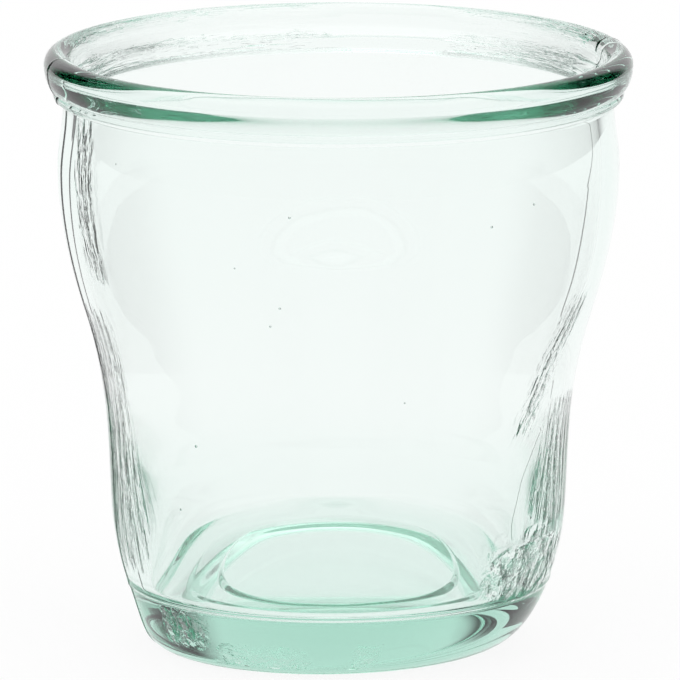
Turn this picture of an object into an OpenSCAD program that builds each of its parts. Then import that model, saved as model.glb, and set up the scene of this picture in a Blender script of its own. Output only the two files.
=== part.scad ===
// Cortado glass: a thick tumbler of recycled glass, pressed in a mould.
// One section is turned about Z and cut at the mould's two parting levels,
// so the rim, the wall and the base meet face to face and share one skin.
// The origin is on the table, at the centre of the foot. Sizes are in millimetres.

/* [Overall] */
// Height from the table to the top of the rim
height = 80; // [72:1:95]
// Outside diameter across the rolled rim
rim_d = 78; // [72:1:90]

/* [Rim] */
// Thickness of the rolled bead
bead_d = 3.7; // [3.3:0.1:4.2]
// How far the bead's outside hangs down under its widest place
bead_drop = 3.4; // [3:0.1:3.8]
// Turn of the bead's outside, under its widest place, down to the collar
bead_turn = 74; // [68:1:78]
// Thickness of the small round collar under the bead
collar_d = 1.5; // [1.2:0.1:1.8]
// Turn of the collar's round, above its widest place, up to the bead
collar_turn = 40; // [30:1:50]
// How far the neck lies inside the outside of the bead
neck_inset = 2.5; // [2.3:0.1:2.8]
// Radius of the hollow curve from the collar down to the neck
neck_fillet = 0.4; // [0.3:0.1:0.8]
// How far the lip, the mouth's narrowest ring, lies under the top of the rim
lip_drop = 5; // [4.5:0.1:5.5]
// How far the lip lies inside the outside of the bead
lip_inset = 5.3; // [4.9:0.1:5.6]

/* [Bowl] */
// Level of the bowl's widest place, as a share of the height
belly_level = 0.806; // [0.76:0.002:0.84]
// How far the bowl's widest place lies inside the outside of the bead
belly_inset = 1.75; // [1.2:0.05:2.2]
// Wall thickness at the bowl's widest place
belly_wall = 2.4; // [1.8:0.1:2.8]
// Level where the taper under the bowl is steepest, as a share of the height
taper_level = 0.569; // [0.52:0.001:0.62]
// How far the middle of the taper lies inside the outside of the bead
taper_inset = 5.2; // [4:0.05:6]
// Lean of the wall at the middle of the taper, outwards for each mm of rise
taper_lean = 0.315; // [0.2:0.005:0.4]

/* [Barrel] */
// Level where the taper runs into the barrel, as a share of the height
waist_level = 0.375; // [0.34:0.005:0.42]
// How far the waist lies inside the outside of the bead
waist_inset = 8.2; // [7:0.1:9]
// Lean of the wall at the waist
waist_lean = 0.07; // [0:0.01:0.15]
// Level where the barrel starts to draw in to the base, as a share of the height
barrel_level = 0.25; // [0.2:0.005:0.3]
// How far the barrel lies inside the outside of the bead
barrel_inset = 8.7; // [8:0.1:9.5]
// Lean of the wall at the barrel
barrel_lean = 0.05; // [0:0.01:0.12]

/* [Mould seams] */
// How far each of the two upright mould seams stands out of the wall
mould_seam = 0.15; // [0.08:0.01:0.25]
// Width of each upright mould seam
mould_seam_w = 0.6; // [0.4:0.1:1.2]
// Turn of the mould's two halves about the axis, from the left and right of the photo
mould_turn = 11; // [0:1:45]

/* [Base] */
// Height of the base mould's parting line above the table
seam_z = 8.8; // [8:0.1:11]
// How far the parting line lies inside the outside of the bead
seam_inset = 10.75; // [10:0.05:12]
// Lean of the wall at the parting line
seam_lean = 0.36; // [0.2:0.01:0.5]
// How far the parting line's fine ridge stands out
seam_ridge = 0.12; // [0.05:0.01:0.25]
// Height of the parting line's fine ridge
seam_ridge_h = 0.7; // [0.4:0.1:1.2]
// How far the foot's contact ring lies inside the outside of the bead
foot_inset = 17.4; // [16.5:0.1:18.5]
// Width of the flat ring that the glass rests on
foot_ring_w = 1.3; // [0.8:0.1:2.5]
// Width of the sloping edge of the hollow under the base
punt_slope_w = 4.3; // [2:0.1:6]
// Depth of the hollow under the base
punt_depth = 1.5; // [0.6:0.1:2.5]

/* [Inside] */
// Wall thickness at the taper
wall = 2.1; // [1.6:0.1:2.4]
// Wall thickness at the top of the well
well_wall = 2.8; // [2.4:0.1:3.2]
// Level where the bowl's inside runs into the straight well, as a share of the height
well_level = 0.325; // [0.3:0.005:0.35]
// Lean of the well's side
well_lean = 0.23; // [0.18:0.01:0.26]
// Height of the floor, beside the well's side, above the table
floor_z = 8.6; // [7.5:0.1:9.5]
// How high the round corner reaches from the floor up the well's side
corner_h = 2.1; // [1.5:0.1:3]
// How far the round corner reaches in from the well's side
corner_w = 1.2; // [0.8:0.1:2]
// Rise of each of the two low steps up to the floor's middle
floor_step = 0.3; // [0.1:0.05:0.6]
// Width of each step's slope
step_w = 1; // [0.4:0.1:1.6]
// How far the outer step lies inside the outside of the bead
outer_step_inset = 19.2; // [18.7:0.1:20]
// How far the inner step lies inside the outside of the bead
inner_step_inset = 23.1; // [22.5:0.1:25]

/* [Hidden] */

// Spans that each curve of the section is drawn with
curve_steps = 12;
// Handle length of a curve that stands in for a quarter round
quarter_handle = 0.55;
// Handle lengths of the heel's curve, as shares of its height and of its width
heel_drop_share = 0.57;
heel_run_share = 0.5;
// Colour of the glass, with its alpha
glass_color = [0.72, 0.85, 0.8, 0.5];

rim_r = rim_d / 2;
bead_r = bead_d / 2;
bead_z = height - bead_r;
bead_ring_r = rim_r - bead_r;
mouth_r = rim_r - bead_d;

// The collar's round starts at the foot of the bead's outside
bead_at = [bead_ring_r, bead_z];
collar_r = collar_d / 2;
collar_top = bead_at + [bead_r * cos(bead_turn), -bead_drop * sin(bead_turn)];
collar_at = collar_top - collar_r * [cos(collar_turn), sin(collar_turn)];

// The hollow curve touches the collar's round and ends upright at the neck
neck_r = rim_r - neck_inset;
fillet_ring_r = neck_r + neck_fillet;
fillet_aside = fillet_ring_r - collar_at[0];
fillet_angle = acos(fillet_aside / (collar_r + neck_fillet));
neck_z = collar_at[1] - (collar_r + neck_fillet) * sin(fillet_angle);

// Stations up the outside: height, radius, lean
seam_at = [seam_z, rim_r - seam_inset, seam_lean];
barrel_at = [barrel_level * height, rim_r - barrel_inset, barrel_lean];
waist_at = [waist_level * height, rim_r - waist_inset, waist_lean];
taper_at = [taper_level * height, rim_r - taper_inset, taper_lean];
belly_at = [belly_level * height, rim_r - belly_inset, 0];
neck_at = [neck_z, neck_r, 0];
outside_stations = [seam_at, barrel_at, waist_at, taper_at, belly_at, neck_at];

// The heel leaves the parting line along the wall's lean and lands flat on the foot ring
foot_r = rim_r - foot_inset;
heel_drop = heel_drop_share * seam_z;
heel_run = heel_run_share * (seam_at[1] - foot_r);
ring_in_r = foot_r - foot_ring_w;
punt_r = ring_in_r - punt_slope_w;

// Stations up the inside, from the foot of the well to the rim
well_z = well_level * height;
well_foot_z = floor_z + corner_h;
well_top_at = [well_z, outside_radius(well_z) - well_wall, well_lean];
well_foot_at = [well_foot_z, well_top_at[1] - well_lean * (well_z - well_foot_z), well_lean];
inside_stations = [
    well_foot_at,
    well_top_at,
    moved_in(taper_at, wall),
    moved_in(belly_at, belly_wall),
    [height - lip_drop, rim_r - lip_inset, 0],
    [bead_z, mouth_r, 0]
];

// The floor rises from the corner to its flat middle in two low steps
corner_r = well_foot_at[1] - corner_w;
outer_step_r = rim_r - outer_step_inset;
inner_step_r = rim_r - inner_step_inset;
step_top_z = floor_z + floor_step;

// A station moved in towards the axis
function moved_in(station, by) = [station[0], station[1] - by, station[2]];

// Radius on the smooth cubic between two stations, at a share t of the way up
function blend(a, b, t) =
    let (rise = b[0] - a[0])
    a[1] * (1 - t) * (1 - t) * (1 + 2 * t)
    + a[2] * rise * t * (1 - t) * (1 - t)
    + b[1] * t * t * (3 - 2 * t)
    - b[2] * rise * t * t * (1 - t);

// Radius of the outside at a height between the parting line and the neck
function outside_radius(z) = [
    for (i = [0 : len(outside_stations) - 2])
        let (a = outside_stations[i], b = outside_stations[i + 1])
        if (z >= a[0] && z < b[0])
            blend(a, b, (z - a[0]) / (b[0] - a[0]))
][0];

// Points [radius, height] from one station up to the next, without the last
function span(a, b) = [
    for (i = [0 : curve_steps - 1])
        let (t = i / curve_steps)
        [blend(a, b, t), a[0] + t * (b[0] - a[0])]
];

// Points [radius, height] up a list of stations, without the last
function climb(stations) = [
    for (i = [0 : len(stations) - 2])
        each span(stations[i], stations[i + 1])
];

// Points of a cubic curve from p to s with the handles q and r, without its ends
function curve(p, q, r, s) = [
    for (i = [1 : curve_steps - 1])
        let (t = i / curve_steps, u = 1 - t)
        p * u * u * u + q * 3 * u * u * t + r * 3 * u * t * t + s * t * t * t
];

// Points of an oval about a centre, with both ends
function oval_points(centre, across, up, from, to) = [
    for (i = [0 : curve_steps])
        let (a = from + (to - from) * i / curve_steps)
        centre + [across * cos(a), up * sin(a)]
];

// Points of a round about a centre, with both ends
function round_points(centre, radius, from, to) = oval_points(centre, radius, radius, from, to);

function without_first(points) = [for (i = [1 : len(points) - 1]) points[i]];

function reversed(points) = [for (i = [len(points) - 1 : -1 : 0]) points[i]];

// Outline points of the underside, from the axis out to the heel
function underside_points() = [
    [0, punt_depth],
    [punt_r, punt_depth],
    [ring_in_r, 0],
    [foot_r, 0]
];

// The heel, from the foot ring up to the ridge on the parting line
function heel_points() =
    let (
        seam_r = seam_at[1],
        below = [seam_r - seam_lean * seam_ridge_h / 2, seam_z - seam_ridge_h / 2]
    )
    [
        each curve([foot_r, 0], [foot_r + heel_run, 0], below - heel_drop * [seam_lean, 1], below),
        below,
        [seam_r + seam_ridge, seam_z]
    ];

// The wall's outside from the ridge up to the neck
function wall_points() =
    let (points = climb(outside_stations))
    [for (i = [0 : len(points) - 1]) if (points[i][1] >= seam_z + seam_ridge_h / 2) points[i]];

// The hollow curve, the collar and the bead, round to the top of the inside
function rim_points() = [
    each round_points([fillet_ring_r, neck_z], neck_fillet, 180, 180 - fillet_angle),
    each without_first(round_points(collar_at, collar_r, -fillet_angle, collar_turn)),
    each without_first(oval_points(bead_at, bead_r, bead_drop, -bead_turn, 0)),
    each without_first(round_points(bead_at, bead_r, 0, 90)),
    each without_first(round_points(bead_at, bead_r, 90, 180))
];

// A low step of the floor, from its top out to its foot, as [radius, height]
function step_points(middle, foot) = [
    for (point = span([middle - step_w / 2, foot + floor_step, 0], [middle + step_w / 2, foot, 0]))
        [point[1], point[0]],
    [middle + step_w / 2, foot]
];

// The floor from its middle out to the corner
function floor_points() = [
    [0, step_top_z + floor_step],
    each step_points(inner_step_r, step_top_z),
    each step_points(outer_step_r, floor_z)
];

// The inside from the rim down to the middle of the floor
function inside_points() =
    let (
        top = [well_foot_at[1], well_foot_z],
        foot = [corner_r, floor_z],
        down = corner_h * quarter_handle * [well_lean, 1],
        along = [corner_w * quarter_handle, 0]
    )
    [
        each reversed(climb(inside_stations)),
        each curve(top, top - down, foot + along, foot),
        foot,
        each reversed(floor_points())
    ];

// The whole glass, cut through its axis on one side
module glass_section() {
    polygon([
        each underside_points(),
        each heel_points(),
        each wall_points(),
        each rim_points(),
        each inside_points()
    ]);
}

// The part of the glass inside a mask of its section, turned about the axis
module turned_part() {
    color(glass_color)
        rotate_extrude()
            intersection() {
                glass_section();
                children();
            }
}

// A mask over all radii from one outwards, between two levels
module band(from_r, low, high) {
    translate([from_r, low])
        square([rim_d, high - low]);
}

// A fine upright ridge on the wall's outside, rooted half way into the wall
module seam_strip(turn) {
    points = wall_points();
    strip_angle = mould_seam_w / taper_at[1] * 180 / PI;
    color(glass_color)
        rotate([0, 0, turn - strip_angle / 2])
            rotate_extrude(angle = strip_angle)
                polygon([
                    each [for (point = points) point + [mould_seam, 0]],
                    each reversed([for (point = points) point - [wall / 2, 0]])
                ]);
}

// Rolled bead with its collar and the flared lip inside, shaped by the mould's ring
module rim_bead() {
    turned_part()
        band(0, neck_z, height + bead_d);
}

// Bowl, taper and barrel, shaped by the split body mould
module body_wall() {
    union() {
        turned_part()
            band(corner_r, seam_z, neck_z);
        seam_strip(mould_turn);
        seam_strip(mould_turn + 180);
    }
}

// Heavy stepped floor with its heel, foot ring and hollow, shaped by the base plate and the plunger
module thick_base() {
    turned_part()
        union() {
            band(0, -bead_d, seam_z);
            square([corner_r, well_foot_z]);
        }
}

rim_bead();
body_wall();
thick_base();
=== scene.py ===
import math
from collections import namedtuple

import bpy
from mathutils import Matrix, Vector, noise


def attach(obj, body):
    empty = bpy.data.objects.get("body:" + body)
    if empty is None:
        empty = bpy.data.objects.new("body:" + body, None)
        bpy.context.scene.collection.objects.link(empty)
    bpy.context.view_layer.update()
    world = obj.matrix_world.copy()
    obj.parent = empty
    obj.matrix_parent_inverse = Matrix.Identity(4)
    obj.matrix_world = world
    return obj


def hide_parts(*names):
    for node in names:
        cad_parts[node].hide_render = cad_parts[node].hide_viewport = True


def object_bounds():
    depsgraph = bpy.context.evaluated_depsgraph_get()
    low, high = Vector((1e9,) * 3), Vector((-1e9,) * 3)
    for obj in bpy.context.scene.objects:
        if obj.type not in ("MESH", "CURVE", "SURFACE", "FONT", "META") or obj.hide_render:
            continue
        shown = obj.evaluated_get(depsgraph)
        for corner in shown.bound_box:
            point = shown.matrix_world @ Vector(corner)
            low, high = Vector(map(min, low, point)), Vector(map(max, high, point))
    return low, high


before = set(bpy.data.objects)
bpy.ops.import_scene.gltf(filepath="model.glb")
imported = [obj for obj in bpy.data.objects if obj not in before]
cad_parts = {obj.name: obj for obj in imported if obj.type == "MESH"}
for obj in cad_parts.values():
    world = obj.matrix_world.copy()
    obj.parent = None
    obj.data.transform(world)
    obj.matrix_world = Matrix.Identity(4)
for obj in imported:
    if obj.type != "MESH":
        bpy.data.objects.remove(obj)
cad_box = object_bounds()

# A level of the wall: its height, its radius there and how far it leans out for each mm up
Station = namedtuple("Station", "z r lean")
# A streak of fine ripples: turn at its top, turn for each mm down, half width, low and high end, depth,
# and how fast its grain changes upwards
Streak = namedtuple("Streak", "turn per_mm half low high depth upright")
# A rough patch of the base: turn, half turn, low and high end, and depth
Patch = namedtuple("Patch", "turn half low high depth")
# A stretch of lines along the bead: turn, half turn and depth
RimLine = namedtuple("RimLine", "turn half depth")
# A shallow dent: turn, height, half width, half height and depth
Dent = namedtuple("Dent", "turn z wide tall depth")
# A small bubble: turn, height and radius
Seed = namedtuple("Seed", "turn z radius")

# Sizes are in millimetres, and turns in degrees round from the photo's right, with the front at FRONT_TURN
MM = 0.001
FRONT_TURN = -90.0

# Height and rim from the frame, to the nearest thousandth of a millimetre
HEIGHT = round(cad_box[1][2] / MM, 3)
RIM_R = round(cad_box[1][0] / MM, 3)

# Rim, as in the part's source
BEAD_R = 1.85
BEAD_DROP = 3.4
BEAD_TURN = math.radians(74.0)
COLLAR_R = 0.75
COLLAR_TURN = math.radians(40.0)
NECK_R = RIM_R - 2.5
NECK_FILLET = 0.4
LIP_Z = HEIGHT - 5.0
LIP_R = RIM_R - 5.3

# Outside of the wall, as in the part's source to 0.02 mm
SEAM_Z = 8.8
SEAM = Station(SEAM_Z, RIM_R - 10.75, 0.36)
BARREL = Station(20.0, RIM_R - 8.7, 0.05)
WAIST = Station(30.0, RIM_R - 8.2, 0.07)
TAPER = Station(45.5, RIM_R - 5.2, 0.315)
BELLY = Station(64.5, RIM_R - 1.75, 0.0)

# Parting line round the heel: how proud, its half height, its shoulders' share and where the wall goes on
SEAM_RIDGE = 0.12
SEAM_RIDGE_HALF = 0.35
RIDGE_SHOULDER = 0.6
RIDGE_END = 0.9

# Foot and heel, as in the part's source, and the handles of their curves
FOOT_R = RIM_R - 17.4
RING_IN_R = FOOT_R - 1.3
PUNT_R = RING_IN_R - 4.3
PUNT_DEPTH = 1.5
PUNT_HANDLE = 1 / 3
HEEL_OUT = 0.5
HEEL_DOWN = 0.57

# Inside, as in the part's source but for the well, whose side is a little thinner here
WALL = 2.1
BELLY_WALL = 2.4
WELL_WALL = 2.3
WELL_Z = 26.0
WELL_LEAN = 0.21
FLOOR_Z = 8.6
CORNER_H = 2.1
CORNER_W = 1.2
CORNER_HANDLE = 0.55
FLOOR_STEP = 0.3
STEP_W = 1.0
OUTER_STEP_R = RIM_R - 19.2
INNER_STEP_R = RIM_R - 23.1

# How finely the turned mesh is cut, and how close two points are the same one
STEPS = 16
AROUND = 240
SAME_POINT = 1e-4

# The two upright mould seams: where they are, how wide, how proud and how sharp
MOULD_SEAMS = (math.radians(191.0), math.radians(14.0))
MOULD_SEAM_HALF = math.radians(0.9)
MOULD_SEAM_RISE = 0.13
MOULD_SEAM_SHARP = 3
MOULD_SEAM_IN_R = RIM_R - 20.0

# Fine slices across a mould seam: how many, how far they spread and how far other slices stay away
SEAM_SLICES = 13
SEAM_SPREAD = 1.4
SEAM_CLEAR = 1.6

# Slow waves of both skins and tall waves of the inside: size of the grain, height and place in the noise
SLOW_GRAIN = 0.045
SLOW_WAVE = 0.05
SLOW_AT = Vector((13.4, 2.7, 8.3))
TALL_GRAIN_ACROSS = 0.16
TALL_GRAIN_UP = 0.05
TALL_WAVE = 0.04
TALL_AT = Vector((11.0, 2.0, 5.0))

# The pressed base sits a little askew: its tilt, the height that this reaches up to, the heel's shift aside
# and how fast the shift grows outwards
BASE_TILT = math.tan(math.radians(0.75))
BASE_TILT_TOP = 32.0
HEEL_SHIFT = -1.1
HEEL_SHIFT_POWER = 4

# Streaks of fine ripples left by the mould, their grain across, the share of their width that is deepest
# and the share of their length that fades at each end
STREAKS = (
    Streak(-157.5, 0.19, 1.6, 51.0, 74.0, 1.3, 0.24),
    Streak(-164.0, -0.06, 6.5, 10.5, 48.0, 0.9, 0.12),
    Streak(-21.0, -0.9, 2.2, 30.0, 51.0, 0.55, 0.24),
    Streak(-16.0, 0.0, 6.5, 17.2, 36.0, 0.5, 0.12),
)
STREAK_GRAIN = 0.75
STREAK_CORE = 0.3
STREAK_FADE = 0.2

# Patches of rough pressing on the outside of the base, their grain, their soft edges, the radius inside
# which there are none and the heights that they stay below
PATCHES = (
    Patch(-27.0, 20.0, 8.5, 16.5, 1.7),
    Patch(-138.0, 11.0, 2.5, 8.5, 2.2),
    Patch(-112.0, 18.0, 0.3, 5.0, 1.8),
    Patch(-81.0, 5.0, 0.8, 5.5, 1.8),
)
PATCH_GRAIN = 0.42
PATCH_SIDE_FADE = 1 / 2
PATCH_END_FADE = 1.5
PATCH_IN_R = 24.5
PATCH_TOP_LEFT = 9.5
PATCH_TOP_RIGHT = 17.0

# Fine lines drawn along the bead at the back, their grain along and across, and where they start
RIM_LINES = (
    RimLine(44.0, 24.0, 0.6),
    RimLine(128.0, 42.0, 0.4),
)
RIM_LINE_ALONG = 0.06
RIM_LINE_ACROSS = 1.1
RIM_LINE_FADE = 1 / 3
RIM_LINE_LOW = 74.0

# Names of the mesh's layers that hold the fine relief's depth and the place in its grain, the noise's detail
# and its middle, and the layers' values where there is no relief
RELIEF_NAME = "relief"
GRAIN_NAME = "grain"
GRAIN_DETAIL = 3.0
GRAIN_MIDDLE = 0.5
NO_RELIEF = (0.0, (0.0, 0.0, 0.0))

# Shallow dents in the outside
DENTS = (
    Dent(-90.5, 26.3, 5.5, 1.2, 0.14),
    Dent(-70.0, 47.0, 9.0, 4.0, 0.05),
    Dent(-118.0, 42.0, 8.0, 5.0, 0.05),
)

# Seeds, the small bubbles left in the glass, how deep they lie and how finely they are cut
SEEDS = (
    Seed(-100.0, 64.1, 0.17),
    Seed(-105.0, 49.3, 0.15),
    Seed(-57.0, 61.9, 0.17),
    Seed(-128.0, 31.4, 0.2),
    Seed(-134.0, 22.4, 0.16),
    Seed(-74.0, 38.5, 0.12),
    Seed(-112.0, 57.0, 0.12),
    Seed(38.0, 55.0, 0.18),
    Seed(105.0, 40.0, 0.16),
    Seed(150.0, 62.0, 0.18),
)
SEED_IN = 1.1
SEED_RINGS = 6
SEED_SLICES = 10

# Glass: the tint of its skin, how strongly it bends light, the colour it takes on with depth, how fast, and
# how often light may bounce in it
GLASS_SKIN = (0.985, 0.995, 0.99, 1.0)
GLASS_IOR = 1.5
GLASS_DEPTH_COLOUR = (0.26, 0.71, 0.56, 1.0)
GLASS_DENSITY = 22.5
BOUNCES = 24

# Photo's camera: how far it stands, how steeply it looks down, how long its lens is, how far it sees, its
# picture, and the point that it looks at in metres
CAMERA_DISTANCE = 1.418
CAMERA_PITCH = math.radians(11.38)
CAMERA_FOCAL_PX = 10664.0
CAMERA_REACH = 50.0
IMAGE_PX = 680
SENSOR_MM = 36.0
CAMERA_TARGET = Vector((0.0002, 0.0, 0.04076))

# Floor in metres: its half width and how far it lies below the foot
FLOOR_REACH = 6.0
FLOOR_BELOW = 0.0001

# How white the floor looks, the share of it that is its own and not the light on it, and its paint
FLOOR_WHITE = 1.0
FLOOR_GLOW_SHARE = 0.9
FLOOR_PAINT = (0.92, 0.92, 0.92, 1.0)
FLOOR_ROUGHNESS = 0.9

# Light levels round the studio, and the turns and heights where one runs into the next
WORLD_WHITE = (1.0, 1.0, 1.0, 1.0)
WORLD_BACK = 1.0
WORLD_SIDE = 0.0
WORLD_FRONT = 0.95
WORLD_CEILING = 1.5
WORLD_BACK_EDGE = (math.radians(24.0), math.radians(40.0))
WORLD_FRONT_EDGE = (math.radians(66.0), math.radians(104.0))
WORLD_CEILING_EDGE = (math.sin(math.radians(36.0)), math.sin(math.radians(59.0)))


def blend(a, b, t):
    """Radius on the smooth cubic between two stations, at a share t of the way up."""
    rise = b.z - a.z
    u = 1 - t
    from_low = a.r * u * u * (1 + 2 * t) + a.lean * rise * t * u * u
    from_high = b.r * t * t * (3 - 2 * t) - b.lean * rise * t * t * u
    return from_low + from_high


def climb(stations):
    """Points (radius, height) up a list of stations, with both ends."""
    points = []
    for a, b in zip(stations, stations[1:]):
        for i in range(STEPS):
            t = i / STEPS
            points.append((blend(a, b, t), a.z + t * (b.z - a.z)))
    points.append((stations[-1].r, stations[-1].z))
    return points


def bezier(p, q, r, s, steps=STEPS):
    """Points of a cubic curve from p to s with the handles q and r, with both ends."""
    points = []
    for i in range(steps + 1):
        t = i / steps
        u = 1 - t
        shares = (u * u * u, 3 * u * u * t, 3 * u * t * t, t * t * t)
        pairs = list(zip(shares, (p, q, r, s)))
        points.append(tuple(sum(share * c[axis] for share, c in pairs) for axis in (0, 1)))
    return points


def on_oval(centre, across, up, angle):
    """The point of an oval about a centre, at an angle in radians."""
    return (centre[0] + across * math.cos(angle), centre[1] + up * math.sin(angle))


def oval(centre, across, up, start, end, steps=STEPS):
    """Points of an oval about a centre, with both ends, angles in radians."""
    return [on_oval(centre, across, up, start + (end - start) * i / steps) for i in range(steps + 1)]


def arc(centre, radius, start, end, steps=STEPS):
    """Points of a round about a centre, with both ends, angles in radians."""
    return oval(centre, radius, radius, start, end, steps)


def heading(a, b):
    """Angle of the way from one point to another."""
    return math.atan2(b[1] - a[1], b[0] - a[0])


def wall_radius(z):
    """Radius of the outside at a height between the parting line and the belly."""
    stations = (SEAM, BARREL, WAIST, TAPER, BELLY)
    for a, b in zip(stations, stations[1:]):
        if z <= b.z:
            return blend(a, b, (z - a.z) / (b.z - a.z))
    return BELLY.r


def rim_centres():
    """Centres of the bead, of the collar under it and of the fillet under that."""
    bead = (RIM_R - BEAD_R, HEIGHT - BEAD_R)
    groove = on_oval(bead, BEAD_R, BEAD_DROP, -BEAD_TURN)
    collar = on_oval(groove, COLLAR_R, COLLAR_R, COLLAR_TURN - math.pi)
    reach = COLLAR_R + NECK_FILLET
    side = NECK_R + NECK_FILLET - collar[0]
    fillet = (NECK_R + NECK_FILLET, collar[1] - math.sqrt(reach * reach - side * side))
    return bead, collar, fillet


def underside():
    """The hollow under the glass, from the middle out to the foot ring."""
    flat = [(PUNT_R * i / STEPS, PUNT_DEPTH) for i in range(STEPS)]
    run = (RING_IN_R - PUNT_R) * PUNT_HANDLE
    slope = bezier((PUNT_R, PUNT_DEPTH), (PUNT_R + run, PUNT_DEPTH), (RING_IN_R - run, 0), (RING_IN_R, 0))
    return flat + slope


def outside(neck_z):
    """The heel, the ridge of the parting line and the wall, from the foot ring up to the neck."""
    half = SEAM_RIDGE_HALF / 2
    below = (SEAM.r - SEAM.lean * SEAM_RIDGE_HALF, SEAM_Z - SEAM_RIDGE_HALF)
    drop = HEEL_DOWN * SEAM_Z
    run = HEEL_OUT * (SEAM.r - FOOT_R)
    handle = (below[0] - SEAM.lean * drop, below[1] - drop)
    heel = bezier((FOOT_R, 0), (FOOT_R + run, 0), handle, below, 2 * STEPS)
    shoulder = SEAM_RIDGE * RIDGE_SHOULDER
    ridge = [(SEAM.r - SEAM.lean * half + shoulder, SEAM_Z - half),
             (SEAM.r + SEAM_RIDGE, SEAM_Z),
             (SEAM.r + SEAM.lean * half + shoulder, SEAM_Z + half)]
    wall = climb((SEAM, BARREL, WAIST, TAPER, BELLY, Station(neck_z, NECK_R, 0.0)))
    return heel + ridge + [point for point in wall if point[1] > SEAM_Z + SEAM_RIDGE_HALF * RIDGE_END]


def rim():
    """The fillet, the collar and the bead, from the neck over the top to the mouth."""
    bead, collar, fillet = rim_centres()
    way = heading(fillet, collar)
    neck = arc(fillet, NECK_FILLET, math.pi, way) + arc(collar, COLLAR_R, way - math.pi, COLLAR_TURN)
    return neck + oval(bead, BEAD_R, BEAD_DROP, -BEAD_TURN, 0) + arc(bead, BEAD_R, 0, math.pi, 2 * STEPS)


def step_points(middle, foot):
    """A low step of the floor, from its foot in to its top: a bit of wall laid on its side."""
    top = Station(middle - STEP_W / 2, foot + FLOOR_STEP, 0.0)
    bottom = Station(middle + STEP_W / 2, foot, 0.0)
    return [(r, z) for z, r in reversed(climb((top, bottom)))]


def inside(mouth):
    """The lip, the inside of the wall, the well and the floor, from the mouth down to the middle."""
    well_top = Station(WELL_Z, wall_radius(WELL_Z) - WELL_WALL, WELL_LEAN)
    foot_z = FLOOR_Z + CORNER_H
    well_foot = Station(foot_z, well_top.r - WELL_LEAN * (WELL_Z - foot_z), WELL_LEAN)
    wall = climb((well_foot, well_top,
                  Station(TAPER.z, TAPER.r - WALL, TAPER.lean),
                  Station(BELLY.z, BELLY.r - BELLY_WALL, 0.0),
                  Station(LIP_Z, LIP_R, 0.0),
                  Station(mouth[1], mouth[0], 0.0)))
    corner_r = well_foot.r - CORNER_W
    drop = CORNER_H * CORNER_HANDLE
    corner = bezier((well_foot.r, foot_z), (well_foot.r - WELL_LEAN * drop, foot_z - drop),
                    (corner_r + CORNER_W * CORNER_HANDLE, FLOOR_Z), (corner_r, FLOOR_Z))
    steps = step_points(OUTER_STEP_R, FLOOR_Z) + step_points(INNER_STEP_R, FLOOR_Z + FLOOR_STEP)
    return wall[::-1] + corner + steps + [(0.0, FLOOR_Z + 2 * FLOOR_STEP)]


def section():
    """The glass's outline from the middle of the underside round to the middle of the floor.

    Each point is (radius, height, skin), where skin is "under", "out", "rim" or "in".
    """
    bead, collar, fillet = rim_centres()
    mouth = (RIM_R - 2 * BEAD_R, bead[1])
    runs = ((underside(), "under"), (outside(fillet[1]), "out"), (rim(), "rim"), (inside(mouth), "in"))
    outline = []
    for points, skin in runs:
        for r, z in points:
            if not outline or math.dist((r, z), outline[-1][:2]) > SAME_POINT:
                outline.append((r, z, skin))
    return outline


def around_angles():
    """Angles round the glass, evenly spaced, with fine slices across each mould seam."""
    angles = [2 * math.pi * i / AROUND for i in range(AROUND)]
    for middle in MOULD_SEAMS:
        angles = [a for a in angles if abs(a - middle) > SEAM_CLEAR * MOULD_SEAM_HALF]
        for i in range(SEAM_SLICES):
            share = 2 * i / (SEAM_SLICES - 1) - 1
            angles.append(middle + SEAM_SPREAD * MOULD_SEAM_HALF * share)
    return sorted(angles)


def seam_rise(angle):
    """How far an upright mould seam stands out at an angle round the glass."""
    rise = 0.0
    for middle in MOULD_SEAMS:
        away = (angle - middle) / MOULD_SEAM_HALF
        rise += MOULD_SEAM_RISE * math.exp(-MOULD_SEAM_SHARP * away * away)
    return rise


def ripple(r, z, angle, skin):
    """Radial unevenness of the pressed glass: slow waves, and tall ones too on the inside."""
    at = Vector((r * math.cos(angle), r * math.sin(angle), z))
    slow = SLOW_WAVE * noise.noise(at * SLOW_GRAIN + SLOW_AT)
    if skin == "in":
        tall = Vector((at.x * TALL_GRAIN_ACROSS, at.y * TALL_GRAIN_ACROSS, at.z * TALL_GRAIN_UP))
        return slow + TALL_WAVE * noise.noise(tall + TALL_AT)
    return slow


def fall(value, start, end):
    """A smooth fall from 1 to 0 as a value goes from start to end."""
    t = min(1.0, max(0.0, (value - start) / (end - start)))
    return 1 - t * t * (3 - 2 * t)


def window(value, low, high, edge):
    """1 between two limits, with a smooth fall to 0 inside each of them."""
    return fall(low + edge - value, 0.0, edge) * fall(value, high - edge, high)


def turn_of(angle):
    """An angle in radians as a turn in degrees, from -180 to 180."""
    return math.degrees(math.atan2(math.sin(angle), math.cos(angle)))


def rim_relief(r, turn, z):
    """Depth of the lines along the bead at a place, and the place in their grain."""
    depth = 0.0
    for line in RIM_LINES:
        edge = line.half * RIM_LINE_FADE
        depth += line.depth * window(turn, line.turn - line.half, line.turn + line.half, edge)
    along = RIM_LINE_ALONG * RIM_R * math.radians(turn)
    return depth, (along, z * RIM_LINE_ACROSS, r * RIM_LINE_ACROSS)


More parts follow.
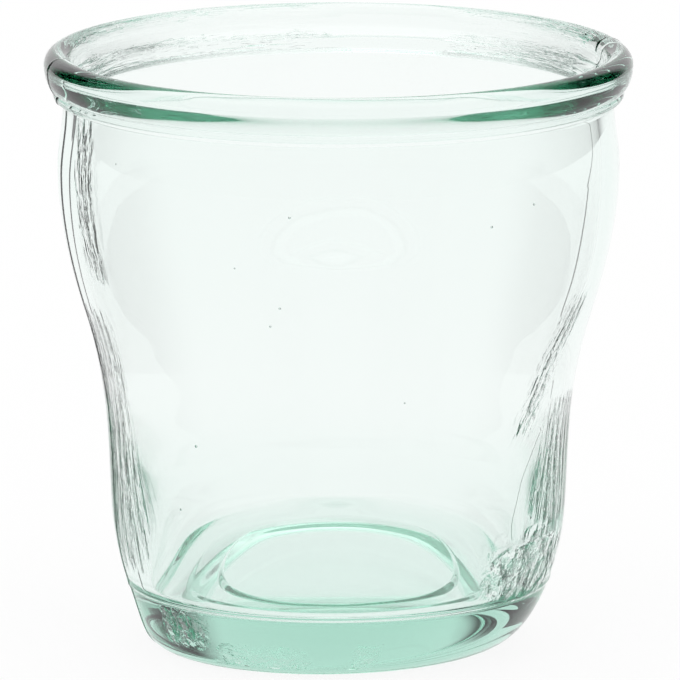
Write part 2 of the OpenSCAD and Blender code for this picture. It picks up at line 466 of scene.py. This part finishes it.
def patch_relief(r, angle, z):
    """Depth of the rough patches at a place, and the place in their grain."""
    turn = turn_of(angle)
    grain = (r * math.cos(angle) * PATCH_GRAIN, r * math.sin(angle) * PATCH_GRAIN, z * PATCH_GRAIN)
    if r <= PATCH_IN_R:
        return 0.0, grain
    depth = 0.0
    for patch in PATCHES:
        edge = patch.half * PATCH_SIDE_FADE
        round_it = window(turn, patch.turn - patch.half, patch.turn + patch.half, edge)
        depth += patch.depth * round_it * window(z, patch.low, patch.high, PATCH_END_FADE)
    return depth, grain


def streak_across(streak, r, turn, z):
    """How far a place is from the middle line of a streak, round the glass."""
    return math.radians(turn - streak.turn - streak.per_mm * (streak.high - z)) * r


def streak_reach(streak, r, turn, z):
    """How far a place is from the middle of a streak, where 1 is its edge."""
    up = (2 * z - streak.low - streak.high) / (streak.high - streak.low)
    return max(abs(streak_across(streak, r, turn, z)) / streak.half, abs(up))


def streak_relief(r, turn, z):
    """Depth of the nearest streak at a place, and the place in its grain."""
    streak = min(STREAKS, key=lambda each: streak_reach(each, r, turn, z))
    across = streak_across(streak, r, turn, z)
    edge = STREAK_FADE * (streak.high - streak.low)
    side = fall(abs(across), STREAK_CORE * streak.half, streak.half)
    depth = streak.depth * side * window(z, streak.low, streak.high, edge)
    return depth, (across * STREAK_GRAIN, z * streak.upright, 0.0)


def relief(r, angle, z):
    """Depth of the skin's fine relief at a place, and the place in its grain."""
    turn = turn_of(angle)
    patch_top = PATCH_TOP_LEFT if turn < FRONT_TURN else PATCH_TOP_RIGHT
    if z > RIM_LINE_LOW:
        return rim_relief(r, turn, z)
    if z < patch_top:
        return patch_relief(r, angle, z)
    return streak_relief(r, turn, z)


def dent_depth(r, angle, z):
    """How far the outside is pressed in at a place."""
    turn = turn_of(angle)
    depth = 0.0
    for dent in DENTS:
        across = math.radians(turn - dent.turn) * r / dent.wide
        up = (z - dent.z) / dent.tall
        depth += dent.depth * math.exp(-across * across - up * up)
    return depth


def placed(r, angle, z):
    """A mesh point in metres, with the tilt of the base and the heel's uneven round."""
    x = r * math.cos(angle)
    share = max(0.0, 1 - z / BASE_TILT_TOP)
    up = BASE_TILT * (x + FOOT_R) * share * share
    low = max(0.0, 1 - z / SEAM_Z)
    aside = HEEL_SHIFT * low * low * min(1.0, r / FOOT_R) ** HEEL_SHIFT_POWER
    return ((x + aside) * MM, r * math.sin(angle) * MM, (z + up) * MM)


def uneven(r, z, angle, skin):
    """How far a skin stands out from the true round at a place."""
    away = 0.0
    if skin in ("out", "in") and z > FLOOR_Z + CORNER_H:
        away += ripple(r, z, angle, skin)
    if skin == "out":
        away -= dent_depth(r, angle, z)
    if skin in ("out", "rim") and r > MOULD_SEAM_IN_R:
        away += seam_rise(angle)
    return away


def skin_faces(rows, count):
    """Faces of a turned skin: a point, then rows of count points each, then a point."""
    top = 1 + (rows - 1) * count
    last = top + count
    faces = []
    for j in range(count):
        k = (j + 1) % count
        faces.append((0, 1 + k, 1 + j))
        faces.append((top + j, top + k, last))
        for i in range(rows - 1):
            low = 1 + i * count
            faces.append((low + j, low + k, low + count + k, low + count + j))
    return faces


def seed_points(seed):
    """Points of a bubble in the wall, in metres: its bottom, its rings and its top."""
    angle = math.radians(seed.turn)
    ring_r = wall_radius(seed.z) - SEED_IN
    middle = Vector((ring_r * math.cos(angle), ring_r * math.sin(angle), seed.z))
    outs = [Vector((0, 0, -1))]
    for i in range(1, SEED_RINGS):
        tip = math.pi * i / SEED_RINGS
        wide = math.sin(tip)
        for j in range(SEED_SLICES):
            side = 2 * math.pi * j / SEED_SLICES
            outs.append(Vector((wide * math.cos(side), wide * math.sin(side), -math.cos(tip))))
    outs.append(Vector((0, 0, 1)))
    return [tuple((middle + seed.radius * out) * MM) for out in outs]


def seed_faces(first):
    """Faces of a bubble whose points start at an index, turned in to the bubble."""
    faces = skin_faces(SEED_RINGS - 1, SEED_SLICES)
    return [tuple(first + point for point in reversed(face)) for face in faces]


def add_relief(mesh, reliefs):
    """Layers of the mesh that hold each point's depth of relief and its place in the grain."""
    depths = mesh.attributes.new(RELIEF_NAME, "FLOAT", "POINT")
    depths.data.foreach_set("value", [depth for depth, grain in reliefs])
    grains = mesh.attributes.new(GRAIN_NAME, "FLOAT_VECTOR", "POINT")
    grains.data.foreach_set("vector", [value for depth, grain in reliefs for value in grain])


def build_glass():
    """One closed mesh of the whole glass, in place of the rim, wall and base solids."""
    outline = section()
    angles = around_angles()
    first_z = outline[0][1]
    last_z = outline[-1][1]
    verts = [placed(0.0, 0.0, first_z)]
    reliefs = [relief(0.0, 0.0, first_z)]
    for r, z, skin in outline[1:-1]:
        for angle in angles:
            verts.append(placed(r + uneven(r, z, angle, skin), angle, z))
            reliefs.append(relief(r, angle, z))
    verts.append(placed(0.0, 0.0, last_z))
    reliefs.append(relief(0.0, 0.0, last_z))
    faces = skin_faces(len(outline) - 2, len(angles))
    for seed in SEEDS:
        points = seed_points(seed)
        faces += seed_faces(len(verts))
        verts += points
        reliefs += [NO_RELIEF] * len(points)
    mesh = bpy.data.meshes.new("glass_body")
    mesh.from_pydata(verts, [], faces)
    mesh.polygons.foreach_set("use_smooth", [True] * len(mesh.polygons))
    add_relief(mesh, reliefs)
    mesh.update()
    piece = bpy.data.objects.new("glass_body", mesh)
    bpy.context.scene.collection.objects.link(piece)
    return piece


def lerp_node(tree, value, low, high, to_low, to_high):
    """A smooth step from one level to another as a value goes from low to high."""
    node = tree.nodes.new("ShaderNodeMapRange")
    node.interpolation_type = "SMOOTHSTEP"
    node.inputs["From Min"].default_value = low
    node.inputs["From Max"].default_value = high
    node.inputs["To Min"].default_value = to_low
    node.inputs["To Max"].default_value = to_high
    tree.links.new(value, node.inputs["Value"])
    return node.outputs["Result"]


def math_node(tree, operation, *values):
    """A maths node whose inputs are sockets or plain numbers."""
    node = tree.nodes.new("ShaderNodeMath")
    node.operation = operation
    for slot, value in zip(node.inputs, values):
        if isinstance(value, (int, float)):
            slot.default_value = value
        else:
            tree.links.new(value, slot)
    return node.outputs["Value"]


def layer_node(tree, name):
    """A node that reads one of the mesh's layers."""
    node = tree.nodes.new("ShaderNodeAttribute")
    node.attribute_name = name
    return node


def relief_normal(tree):
    """The skin's normal with the fine relief: a noise about 0, as deep as the mesh's layer says."""
    grain = tree.nodes.new("ShaderNodeTexNoise")
    grain.inputs["Scale"].default_value = 1.0
    grain.inputs["Detail"].default_value = GRAIN_DETAIL
    tree.links.new(layer_node(tree, GRAIN_NAME).outputs["Vector"], grain.inputs["Vector"])
    wave = math_node(tree, "SUBTRACT", grain.outputs["Fac"], GRAIN_MIDDLE)
    height = math_node(tree, "MULTIPLY", wave, layer_node(tree, RELIEF_NAME).outputs["Fac"])
    bump = tree.nodes.new("ShaderNodeBump")
    bump.inputs["Strength"].default_value = 1.0
    bump.inputs["Distance"].default_value = MM
    tree.links.new(height, bump.inputs["Height"])
    return bump.outputs["Normal"]


def glass_material():
    """Clear pressed glass: pale green by depth, with fine ripples on its skin."""
    material = bpy.data.materials.new("recycled_glass")
    material.use_nodes = True
    tree = material.node_tree
    shader = tree.nodes["Principled BSDF"]
    shader.inputs["Base Color"].default_value = GLASS_SKIN
    shader.inputs["Roughness"].default_value = 0.0
    shader.inputs["IOR"].default_value = GLASS_IOR
    shader.inputs["Transmission Weight"].default_value = 1.0
    tree.links.new(relief_normal(tree), shader.inputs["Normal"])
    depth = tree.nodes.new("ShaderNodeVolumeAbsorption")
    depth.inputs["Color"].default_value = GLASS_DEPTH_COLOUR
    depth.inputs["Density"].default_value = GLASS_DENSITY
    tree.links.new(depth.outputs["Volume"], tree.nodes["Material Output"].inputs["Volume"])
    return material


def floor_material():
    """White paint that takes the glass's shadow, and that looks white to the camera and through glass."""
    material = bpy.data.materials.new("floor_white")
    material.use_nodes = True
    tree = material.node_tree
    shader = tree.nodes["Principled BSDF"]
    shader.inputs["Base Color"].default_value = FLOOR_PAINT
    shader.inputs["Roughness"].default_value = FLOOR_ROUGHNESS
    shader.inputs["Specular IOR Level"].default_value = 0.0
    glow = tree.nodes.new("ShaderNodeEmission")
    glow.inputs["Strength"].default_value = FLOOR_WHITE
    path = tree.nodes.new("ShaderNodeLightPath")
    seen = math_node(tree, "MAXIMUM", path.outputs["Is Camera Ray"], path.outputs["Is Glossy Ray"])
    seen = math_node(tree, "MAXIMUM", seen, path.outputs["Is Transmission Ray"])
    mix = tree.nodes.new("ShaderNodeMixShader")
    tree.links.new(math_node(tree, "MULTIPLY", seen, FLOOR_GLOW_SHARE), mix.inputs["Fac"])
    tree.links.new(shader.outputs["BSDF"], mix.inputs[1])
    tree.links.new(glow.outputs["Emission"], mix.inputs[2])
    tree.links.new(mix.outputs["Shader"], tree.nodes["Material Output"].inputs["Surface"])
    return material


def build_floor():
    """A wide pale floor that is the whole background from the photo's camera."""
    mesh = bpy.data.meshes.new("floor")
    signs = ((-1, -1), (1, -1), (1, 1), (-1, 1))
    corners = [(x * FLOOR_REACH, y * FLOOR_REACH, 0) for x, y in signs]
    mesh.from_pydata(corners, [], [(0, 1, 2, 3)])
    mesh.materials.append(floor_material())
    floor = bpy.data.objects.new("floor", mesh)
    floor.location.z = -FLOOR_BELOW
    bpy.context.scene.collection.objects.link(floor)


def build_world():
    """Soft studio: a bright ceiling and front, and two dark flags low at the back left and right."""
    world = bpy.data.worlds.new("studio")
    bpy.context.scene.world = world
    world.use_nodes = True
    tree = world.node_tree
    place = tree.nodes.new("ShaderNodeTexCoord")
    split = tree.nodes.new("ShaderNodeSeparateXYZ")
    tree.links.new(place.outputs["Generated"], split.inputs["Vector"])
    x, y, z = (split.outputs[axis] for axis in "XYZ")
    turn = math_node(tree, "ABSOLUTE", math_node(tree, "ARCTAN2", x, y))
    to_side = lerp_node(tree, turn, *WORLD_BACK_EDGE, WORLD_BACK, WORLD_SIDE)
    to_front = lerp_node(tree, turn, *WORLD_FRONT_EDGE, 0.0, WORLD_FRONT - WORLD_SIDE)
    ring = math_node(tree, "ADD", to_side, to_front)
    over = lerp_node(tree, z, *WORLD_CEILING_EDGE, 0.0, 1.0)
    level = math_node(tree, "MULTIPLY_ADD", math_node(tree, "SUBTRACT", WORLD_CEILING, ring), over, ring)
    tree.links.new(level, tree.nodes["Background"].inputs["Strength"])
    tree.nodes["Background"].inputs["Color"].default_value = WORLD_WHITE


def build_camera():
    """The photo's camera: a long lens, a little above the rim."""
    lens = bpy.data.cameras.new("camera")
    lens.sensor_width = SENSOR_MM
    lens.lens = CAMERA_FOCAL_PX * SENSOR_MM / IMAGE_PX
    lens.clip_end = CAMERA_REACH
    camera = bpy.data.objects.new("camera", lens)
    back = Vector((0.0, -math.cos(CAMERA_PITCH), math.sin(CAMERA_PITCH)))
    camera.location = CAMERA_TARGET + back * CAMERA_DISTANCE
    camera.rotation_euler = (math.pi / 2 - CAMERA_PITCH, 0.0, 0.0)
    bpy.context.scene.collection.objects.link(camera)
    bpy.context.scene.camera = camera


scene = bpy.context.scene
scene.view_settings.view_transform = "Standard"
scene.cycles.use_denoising = True
scene.cycles.max_bounces = BOUNCES
scene.cycles.transmission_bounces = BOUNCES
scene.cycles.glossy_bounces = BOUNCES

glass = build_glass()
glass.data.materials.append(glass_material())
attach(glass, "root")
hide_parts("rim_bead", "body_wall", "thick_base")
build_floor()
build_world()
build_camera()
